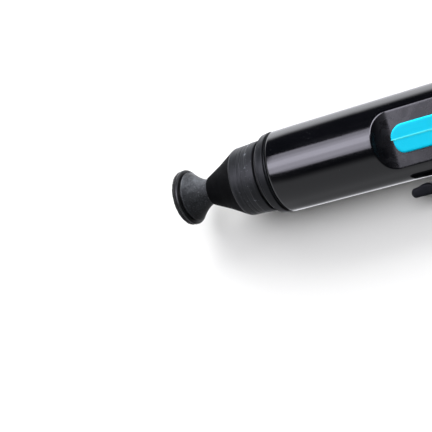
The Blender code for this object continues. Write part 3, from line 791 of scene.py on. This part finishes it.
def build_rubber_tip():
    """The rubber moulding, from its root at the plug out to its thin flared rim."""
    front, rear = stations("flexible_tip")
    rim_radius = outer_radius("flexible_tip")
    root = -16.12 * MM
    corners = [(front, 0.0, 0.0), (front, rim_radius - 0.15 * MM, 0.0),
               (front + 0.06 * MM, rim_radius, 0.05 * MM)]
    flare_front = front + 0.3 * MM
    for share in shares(FLARE_STEPS):
        radius = NECK_RADIUS + (rim_radius - NECK_RADIUS) * (1.0 - share) ** FLARE_POWER
        corners.append((flare_front + (rear - flare_front) * share, radius, 0.0))
    corners += [(root, NECK_RADIUS - 0.25 * MM, 0.2 * MM), (root, 0.0, 0.0)]
    tip = to_object("rubber_trumpet", turned_mesh(corners), "grey_rubber")
    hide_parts("flexible_tip")
    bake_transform(tip)


def build_pad_plate():
    """The flange behind the felt, with a groove in front of the rubber's rim."""
    front, rear = stations("pad_plate")
    radius = outer_radius("pad_plate")
    shoulder = rear - 0.15 * MM
    turned_piece("pad_flange", [
        (front, 0.0, 0.0),
        (front, radius - 0.12 * MM, 0.06 * MM),
        (front + 0.1 * MM, radius, 0.08 * MM),
        (shoulder - 0.14 * MM, radius, 0.12 * MM),
        (shoulder, radius - 0.3 * MM, 0.1 * MM),
        (shoulder - 0.1 * MM, 5.1 * MM, 0.1 * MM),
        (shoulder - 0.12 * MM, 4.55 * MM, 0.06 * MM),
        (rear, 4.5 * MM, 0.0),
        (rear, 0.0, 0.0),
    ], "rim", "pad_plate", "tip_head")


def add_strand(bm, points, radius, tip_share=0.3, sides=3):
    """A tapered fibre through the points."""
    rows = []
    for index, point in enumerate(points):
        ahead = points[min(index + 1, len(points) - 1)] - points[max(index - 1, 0)]
        across = ahead.orthogonal().normalized()
        along = ahead.normalized().cross(across)
        taper = radius * (1.0 - (1.0 - tip_share) * index / (len(points) - 1))
        rows.append([point + (across * math.cos(a) + along * math.sin(a)) * taper
                     for a in turns(sides)])
    add_skin(bm, rows)


def radial(angle):
    return Vector((0.0, math.sin(angle), math.cos(angle)))


def roughen_edge(bm):
    """Shakes the outer part of the felt disc."""
    noise.seed_set(SEED)
    for vert in bm.verts:
        if Vector((vert.co.y, vert.co.z)).length > 0.8 * FELT_RADIUS:
            shake = noise.noise_vector(vert.co / (0.35 * MM))
            vert.co += Vector((0.3 * shake.x, shake.y, shake.z)) * 0.09 * MM


def add_felt_fibre(bm, rng, front, rear):
    """A short fibre that leans out of the felt's edge."""
    out = radial(rng.uniform(0, math.tau))
    root = out * (FELT_RADIUS - rng.uniform(0.1, 0.35) * MM)
    root.x = rng.uniform(front + 0.08 * MM, rear - 0.08 * MM)
    lean = Vector((rng.uniform(-0.6, 0.6), 0.0, 0.0)) + out.cross(X_AXIS) * rng.uniform(-0.9, 0.9)
    reach = rng.uniform(0.12, 0.34) * MM
    middle = root + (out + lean * 0.4) * reach * 0.6
    end = root + (out * 0.8 + lean) * reach
    add_strand(bm, [root, middle, end], FELT_FIBRE_RADIUS)


def build_felt_pad():
    """A felt disc with an uneven edge and short fibres standing out of it."""
    rng = random.Random(SEED)
    front, rear = stations("cleaning_pad")
    front -= 0.1 * MM
    bm = turned_mesh([
        (front, 0.0, 0.0),
        (front, 0.35 * FELT_RADIUS, 0.0),
        (front, 0.7 * FELT_RADIUS, 0.0),
        (front, FELT_RADIUS - 0.1 * MM, 0.25 * MM),
        (rear, FELT_RADIUS - 0.08 * MM, 0.15 * MM),
        (rear, 0.0, 0.0),
    ], FELT_AROUND)
    roughen_edge(bm)
    for _ in range(FELT_FIBRES):
        add_felt_fibre(bm, rng, front, rear)
    pad = to_object("felt_pad", bm, "felt")
    place(pad, "tip_head", "cleaning_pad")


# -------------------- Slider and brush

# Each half of the button: its front, half width, length of its round nose and that nose's power
BUTTON_UPPER = (25.2 * MM, 2.55 * MM, 2.6 * MM, 2.0)
BUTTON_LOWER = (25.5 * MM, 2.8 * MM, 2.1 * MM, 2.4)
BUTTON_BOTTOM = RECESS_FLOOR + 0.2 * MM
BUTTON_TOP = 7.3 * MM
BUTTON_STEP = 0.05 * MM
BUTTON_EDGE = 0.36 * MM
BUTTON_RIDGE = 0.06 * MM
BUTTON_END_STEPS = 32
BUTTON_SIDE_STEPS = 20
BUTTON_EDGE_STEPS = 6
BUTTON_TOP_SHARES = (0.12, 0.3, 0.5, 0.7, 0.84, 0.93, 0.96, 0.99)
HAIRS = 2600
HAIR_STEPS = 5
HAIR_RADIUS = 0.05 * MM
TUFT_RADIUS = 3.66 * MM
TUFT_DOME = 0.86


def button_half(front, half, nose, power, side, inset):
    """Half of the button's outline from above, from its front to its rear on one side."""
    rear = stations("slider_button")[1]
    quarter = [math.pi / 2 * share for share in shares(BUTTON_END_STEPS)]
    reach = half - inset
    points = [(front + nose - (nose - inset) * math.cos(a) ** (2 / power),
               side * reach * math.sin(a) ** (2 / power)) for a in quarter]
    points += [(front + nose + (rear - half - front - nose) * share, side * reach)
               for share in shares(BUTTON_SIDE_STEPS)[1:-1]]
    points += [(rear - half + reach * math.sin(a), side * reach * math.cos(a)) for a in quarter]
    return points


def button_row(inset, height):
    lower = button_half(*BUTTON_LOWER, -1.0, inset)
    upper = button_half(*BUTTON_UPPER, 1.0, inset)
    return [(x, y, height) for x, y in lower + upper[::-1]]


def button_rows():
    """Rows up the button's side, over its rounded edge and in to the middle of its top."""
    level = BUTTON_TOP - BUTTON_STEP
    rows = [button_row(0.06 * MM, BUTTON_BOTTOM)]
    for share in shares(BUTTON_EDGE_STEPS):
        angle = math.pi / 2 * share
        rows.append(button_row(BUTTON_EDGE * (1 - math.cos(angle)),
                               level - BUTTON_EDGE * (1 - math.sin(angle))))
    outline = rows[-1]
    front, rear = stations("slider_button")
    low, high = front + 2.6 * MM, rear - 2.7 * MM
    for share in BUTTON_TOP_SHARES:
        rows.append([(x + (max(low, min(high, x)) - x) * share, y * (1.0 - share), level)
                     for x, y, _ in outline])
    return rows


def build_button():
    """Two thumb pads with a thin ridge between them, the upper one higher and further forward."""
    bm = skinned(button_rows())
    for vert in bm.verts:
        if vert.co.z > BUTTON_BOTTOM + 0.3 * MM:
            rise = clamp(0.5 + vert.co.y / (0.16 * MM))
            ridge = clamp(1.0 - abs(vert.co.y) / (0.14 * MM))
            vert.co.z += BUTTON_STEP * rise + BUTTON_RIDGE * ridge
    button = to_object("thumb_button", bm, "cyan_plastic", math.radians(55))
    place(button, "brush_slider", "slider_button")


def build_ferrule():
    """A thin metal tube, crimped round the tuft in two places."""
    front, rear = stations("brush_ferrule")
    radius, bore = 4.4 * MM, 3.9 * MM
    corners = [(front, bore, 0.0), (front, radius, 0.1 * MM)]
    for station in (54.5 * MM, 56.5 * MM):
        corners += [(station - 0.5 * MM, radius, 0.2 * MM), (station, radius - 0.14 * MM, 0.3 * MM),
                    (station + 0.5 * MM, radius, 0.2 * MM)]
    corners += [(rear, radius, 0.12 * MM), (rear, bore, 0.1 * MM)]
    turned_piece("ferrule_tube", corners, "ferrule_metal", "brush_ferrule", "brush_slider",
                 around=FINE_AROUND)


def add_hair(bm, rng, root_at, tip_at, belly):
    """A hair from inside the ferrule to the tuft's domed tip."""
    share = math.sqrt(rng.random())
    out = radial(rng.uniform(0.0, math.tau))
    dome = math.sqrt(1.0 - (TUFT_DOME * share) ** 2)
    length = (tip_at - root_at) * (dome + rng.uniform(-0.05, 0.0))
    wander = Vector((0.0, rng.uniform(-1, 1), rng.uniform(-1, 1))) * 0.14 * MM
    points = []
    for along in shares(HAIR_STEPS):
        swell = TUFT_RADIUS + (belly - TUFT_RADIUS) * math.sin(along * math.pi / 1.7)
        point = out * swell * share * (1.0 - 0.12 * along ** 3)
        point += wander * along * along
        point.x = root_at - MM + (length + MM) * along
        points.append(point)
    add_strand(bm, points, HAIR_RADIUS, tip_share=0.25)


def build_tuft():
    """Loose hairs round a dark core, gathered in the ferrule and domed at the tip."""
    rng = random.Random(SEED + 1)
    root_at, tip_at = stations("brush_bristles")
    ferrule_rear = stations("brush_ferrule")[1]
    core_tip = tip_at - 5.0 * MM
    bm = turned_mesh([
        (root_at, 0.0, 0.0),
        (root_at, 3.7 * MM, 0.1 * MM),
        (ferrule_rear, 3.5 * MM, 0.5 * MM),
        (core_tip - 4.0 * MM, 3.3 * MM, 3.0 * MM),
        (core_tip, 1.2 * MM, 1.0 * MM),
        (core_tip, 0.0, 0.0),
    ], COARSE_AROUND)
    belly = outer_radius("brush_bristles")
    for _ in range(HAIRS):
        add_hair(bm, rng, ferrule_rear, tip_at, belly)
    tuft = to_object("brush_tuft", bm, "bristle_hair", math.radians(80))
    place(tuft, "brush_slider", "brush_bristles")


# -------------------- Clip and rear end

# Faces of the clip, as distances from the pen's axis, and stations along it
CLIP_OUTER = 11.42 * MM
CLIP_INNER = 9.6 * MM
CLIP_FOOT_INNER = 8.78 * MM
CLIP_HALF_WIDTH = 2.5 * MM
CLIP_TIP = stations("pocket_clip")[0]
CLIP_REAR = stations("clip_foot")[1]
CLIP_NOSE = 1.0 * MM
CLIP_EDGE = 0.5 * MM
CLIP_EDGE_STEPS = 7
CLIP_DENSE = (69.0 * MM, 75.6 * MM)
FOOT_DROP = (69.6 * MM, 3.0 * MM)
BUMP_AT = 27.5 * MM
BUMP_REACH = 2.05 * MM
BUMP_DEPTH = 0.46 * MM
REAR_BORE = 6.95 * MM


def lost_to_corner(distance, radius):
    """How much a round corner takes off at a distance from the end."""
    into = max(0.0, radius - distance)
    return radius - math.sqrt(max(0.0, radius ** 2 - into ** 2))


def clip_faces(station):
    """Inner and outer face of the clip, as distances from the axis, and its half width."""
    inner, outer, half = CLIP_INNER, CLIP_OUTER, CLIP_HALF_WIDTH
    off_bump = abs(station - BUMP_AT) / BUMP_REACH
    if off_bump < 1.0:
        inner -= BUMP_DEPTH * math.cos(off_bump * math.pi / 2) ** 2
    drop_at, drop_run = FOOT_DROP
    drop = clamp((station - drop_at) / drop_run)
    inner += (CLIP_FOOT_INNER - inner) * (1.0 - math.cos(drop * math.pi)) / 2
    from_tip, from_rear = station - CLIP_TIP, CLIP_REAR - station
    nose = lost_to_corner(from_tip, (CLIP_OUTER - CLIP_INNER) / 2)
    inner += nose
    outer -= nose + lost_to_corner(from_rear, 0.9 * MM)
    half -= lost_to_corner(from_tip, 0.8 * MM) + lost_to_corner(from_rear, 0.5 * MM)
    return inner, max(outer, inner + 0.02 * MM), half


def clip_section(station):
    """A rounded rectangle across the clip."""
    inner, outer, half = clip_faces(station)
    edge = min(CLIP_EDGE, 0.46 * (outer - inner), 0.9 * half)
    high, low, wide = outer - edge, inner + edge, half - edge
    section = []
    for quarter, (centre_out, centre_side) in enumerate(
            ((high, wide), (low, wide), (low, -wide), (high, -wide))):
        for share in shares(CLIP_EDGE_STEPS):
            angle = math.pi / 2 * (quarter + share)
            out = centre_out + edge * math.cos(angle)
            section.append((station, -out, centre_side + edge * math.sin(angle)))
    return section


def clip_stations():
    """Where the clip is cut across, closest together at its round ends and over its foot."""
    low, high = CLIP_DENSE
    cuts = [CLIP_TIP + CLIP_NOSE * (1 - math.cos(math.pi / 2 * share)) for share in shares(14)[:-1]]
    cuts += [CLIP_TIP + CLIP_NOSE + 0.25 * MM * step for step in range(22)]
    start = cuts[-1]
    cuts += [start + (low - start) * share for share in shares(30)[1:-1]]
    cuts += [low + (high - low) * share for share in shares(22)[:-1]]
    cuts += [CLIP_REAR - (CLIP_REAR - high) * (1 - math.sin(math.pi / 2 * share))
             for share in shares(12)]
    return cuts


def build_clip():
    """Strip and foot as one moulding."""
    bm = skinned([clip_section(station) for station in clip_stations()])
    clip = to_object("clip_moulding", bm, "clip_plastic", math.radians(60))
    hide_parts("pocket_clip", "clip_foot")
    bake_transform(clip)


def build_rivet(node):
    """A low round rivet head on the clip, turned to face out of it."""
    station = sum(stations(node)) / 2
    shank, top = CLIP_OUTER - 0.6 * MM, CLIP_OUTER + 0.06 * MM
    bm = turned_mesh([
        (shank, 0.0, 0.0),
        (shank, 0.76 * MM, 0.0),
        (CLIP_OUTER - 0.02 * MM, 0.78 * MM, 0.06 * MM),
        (top - 0.02 * MM, 0.66 * MM, 0.08 * MM),
        (top, 0.3 * MM, 0.1 * MM),
        (top, 0.0, 0.0),
    ], COARSE_AROUND)
    for vert in bm.verts:
        along, side, height = vert.co
        vert.co = (station + side, -along, height)
    place(to_object(node + "_head", bm, "spring_steel"), "pen_body", node)


def box_mesh(low, high, bevel):
    bm = bmesh.new()
    bmesh.ops.create_cube(bm, size=1.0)
    for vert in bm.verts:
        vert.co = Vector(a if c < 0 else b for a, b, c in zip(low, high, vert.co))
    bmesh.ops.bevel(bm, geom=bm.edges, offset=bevel, segments=3, profile=0.5, affect="EDGES")
    return bm


def build_clip_band():
    """The ring behind the barrel, with a raised seat for the clip's foot."""
    front, rear = stations("clip_ring")
    ring = to_object("clip_band", turned_mesh([
        (front, REAR_BORE, 0.0), (front, BARREL_RADIUS, 0.3 * MM),
        (rear, BARREL_RADIUS, 0.3 * MM), (rear, REAR_BORE, 0.0),
    ]), "gloss_black")
    seat = box_mesh((front + 0.3 * MM, -8.6 * MM, -3.0 * MM),
                    (rear - 0.3 * MM, -7.5 * MM, 3.0 * MM), 0.15 * MM)
    apply_booleans(ring, [to_object("seat", seat)], "UNION")
    place(ring, "pen_body", "clip_ring")


def build_rear_bezel():
    front, rear = stations("rear_bezel")
    mouth, lip = 5.4 * MM, rear - 0.8 * MM
    turned_piece("rear_bezel_shell", [
        (front, REAR_BORE, 0.0),
        (front, BARREL_RADIUS, 0.3 * MM),
        (rear, BARREL_RADIUS, 1.25 * MM),
        (rear, mouth, 0.3 * MM),
        (lip, mouth, 0.15 * MM),
        (lip, REAR_BORE, 0.0),
    ], "gloss_black", "rear_bezel")


def build_brush_guide():
    front, rear = stations("rear_sleeve")
    inside, outside, fillet = 5.6 * MM, 6.8 * MM, 0.2 * MM
    turned_piece("brush_guide", [
        (front, inside, fillet), (front, outside, fillet),
        (rear, outside, fillet), (rear, inside, fillet),
    ], "inner_plastic", "rear_sleeve", around=FINE_AROUND)


def finish_inner_nodes():
    """CAD nodes that stay: their shape is right, and they get their finish here."""
    plastic = ("tip_plug", "nose_core", "slider_saddle", "brush_carriage")
    finishes = {**dict.fromkeys(plastic, "inner_plastic"), "detent_spring": "spring_steel"}
    for node, finish in finishes.items():
        materials = frame["nodes"][node].data.materials
        materials.clear()
        materials.append(MATERIALS[finish])


# -------------------- Stage

CAMERA_ALONG = 83.9 * MM
CAMERA_UP = 182.3 * MM
CAMERA_FORWARD = (-0.48613, -0.02459, -0.87354)
CAMERA_RIGHT = (0.84425, -0.27133, -0.46219)
CAMERA_LENS = 84.33
SENSOR_WIDTH = 36.0
FLOOR_REACH = 3.0

# Softboxes seen only as reflections: front edge, sides, height, radiance and turn in degrees.
# Their heights differ a little, so that where they overlap their light adds up.
COOL = (0.88, 0.86, 1.0)
WHITE = (1.0, 1.0, 1.0)
STRIPE_REAR = -0.15
STRIPE_BOXES = {
    "wide_box": (-0.46, (-0.42, 0.165), 0.600, 4.9, -11.0),
    "core_box": (-0.6, (-0.345, 0.055), 0.604, 2.1, 0.0),
    "hot_box": (-0.6, (-0.18, -0.025), 0.608, 2.6, 0.0),
}

# How bright the world is by direction: two values, and the part of an axis between them
NEAR_SKY = (0.76, 0.03, 0.3, 0.58)
NEAR_GROUND = (0.55, 1.0, -0.9, -0.6)
FAR_SKY = (2.9, 0.03, 0.02, 0.3)
FAR_GROUND = (0.6, 0.85, -0.35, 0.0)
NEAR_TO_FAR = (0.0, 1.0, -0.15, 0.4)
BRUSH_END = (0.0, 0.96, 0.0, 0.45)
BESIDE_RECESS_VIEW = (1.0, 0.3, 0.25, 0.55)
RECESS_VIEW = 0.2
TIP_END = (0.7, 0.0, -0.9, -0.6)
TIP_SKY = (1.0, 0.0, 0.45, 0.75)
WORLD_COLOUR = (0.94, 0.95, 1.0, 1.0)


def build_camera():
    """Looks down on the thumb button from beside the brush end, along the tilted pen."""
    data = bpy.data.cameras.new("camera")
    data.lens = CAMERA_LENS
    data.sensor_width = SENSOR_WIDTH
    data.clip_start = 10 * MM
    camera = new_object("camera", data)
    turn = PEN.to_3x3()
    right = (turn @ Vector(CAMERA_RIGHT)).normalized()
    back = -(turn @ Vector(CAMERA_FORWARD)).normalized()
    up = back.cross(right).normalized()
    right = up.cross(back)
    camera.matrix_world = Matrix.Translation(in_row(CAMERA_ALONG, 0.0, CAMERA_UP)) \
        @ Matrix((right, up, back)).transposed().to_4x4()
    bpy.context.scene.camera = camera


def area_light(name, size, centre, target, radiance, colour, turn=0.0):
    """A rectangular light whose power follows from its size and how bright it looks."""
    data = bpy.data.lights.new(name, "AREA")
    data.shape = "RECTANGLE"
    data.size, data.size_y = size
    data.energy = math.pi * size[0] * size[1] * radiance
    data.color = colour
    light = new_object(name, data)
    light.location = centre
    aim = Vector(target) - Vector(centre)
    spin = Quaternion((0.0, 0.0, 1.0), turn)
    light.rotation_euler = (aim.to_track_quat("-Z", "Y") @ spin).to_euler()
    return light


def softbox(name, size, centre, radiance, turn=0.0):
    """A light over the pen that shows only as a reflection."""
    light = area_light(name, size, centre, (*centre[:2], 0.0), radiance, COOL, turn)
    light.visible_diffuse = False


def lamp(name, size, centre, target, radiance):
    """A light that no surface reflects as a shape."""
    light = area_light(name, size, centre, target, radiance, WHITE)
    light.visible_glossy = False


def build_lights():
    """Softboxes draw the pen's highlights, and two lamps light it and the floor."""
    for name, (front, sides, height, radiance, turn) in STRIPE_BOXES.items():
        softbox(name, (STRIPE_REAR - front, sides[1] - sides[0]),
                ((front + STRIPE_REAR) / 2, sum(sides) / 2, height), radiance, math.radians(turn))
    softbox("rim_box", (0.4, 0.36), (0.1, 0.08, 0.6), 11.0)
    lamp("sky", (2.4, 2.4), (0.0, 0.1, 1.1), (0.0, 0.1, 0.0), 1.8)
    lamp("back_light", (0.9, 0.4), (-0.1, 0.5, 0.3), (0.0, 0.0, 0.0), 6.0)


def world_brightness(tree):
    """A bright horizon behind the pen and ahead of its tip, dim where the recess reflects it."""
    def soft(axis, band):
        return tree.ramp(axis, *band, curve="SMOOTHSTEP")

    x, y, z = tree.axes(tree.add("TexCoord", {}).outputs["Generated"])
    near = tree.math("MULTIPLY", soft(z, NEAR_SKY), soft(z, NEAR_GROUND))
    far = tree.math("MULTIPLY", soft(z, FAR_SKY), soft(z, FAR_GROUND))
    around = tree.blend_values(soft(y, NEAR_TO_FAR), near, far)
    off_view = tree.math("ABSOLUTE", tree.math("ADD", y, RECESS_VIEW))
    shade_here = tree.math("MULTIPLY", soft(x, BRUSH_END), soft(off_view, BESIDE_RECESS_VIEW))
    dimmed = tree.math("MULTIPLY", around, tree.math("SUBTRACT", 1.0, shade_here))
    ahead = tree.math("MULTIPLY", soft(x, TIP_END), soft(z, TIP_SKY))
    return tree.math("ADD", dimmed, ahead)


def build_world():
    """Surroundings that show only in reflections."""
    world = bpy.data.worlds.new("studio")
    bpy.context.scene.world = world
    world.use_nodes = True
    tree = Nodes(world.node_tree)
    background = tree.nodes["Background"].inputs
    tree.feed(background["Strength"], world_brightness(tree))
    tree.feed(background["Color"], WORLD_COLOUR)
    world.cycles_visibility.diffuse = False


def build_floor():
    """A plain pale floor that the pen doesn't reflect."""
    shader = Shader("pale_floor")
    tones = shader.tones(shader.noise(3.0, 2.0), (0.68, 0.68, 0.68), (0.70, 0.70, 0.70))
    mesh = bpy.data.meshes.new("floor")
    corners = [(x * FLOOR_REACH, y * FLOOR_REACH, 0) for x, y in ((-1, -1), (1, -1), (1, 1), (-1, 1))]
    mesh.from_pydata(corners, [], [(0, 1, 2, 3)])
    mesh.materials.append(shader.finish(tones, 0.85))
    floor = new_object("floor", mesh)
    floor.visible_diffuse = False
    floor.visible_glossy = False


build_camera()
build_world()
build_lights()
build_floor()
build_barrel()
build_cone()
build_sleeve()
build_collar()
build_seal()
build_rubber_tip()
build_pad_plate()
build_felt_pad()
build_button()
build_ferrule()
build_tuft()
build_clip()
for rivet_node in ("clip_rivet_front", "clip_rivet_rear"):
    build_rivet(rivet_node)
build_clip_band()
build_rear_bezel()
build_brush_guide()
finish_inner_nodes()
bpy.context.scene.view_settings.view_transform = "Standard"
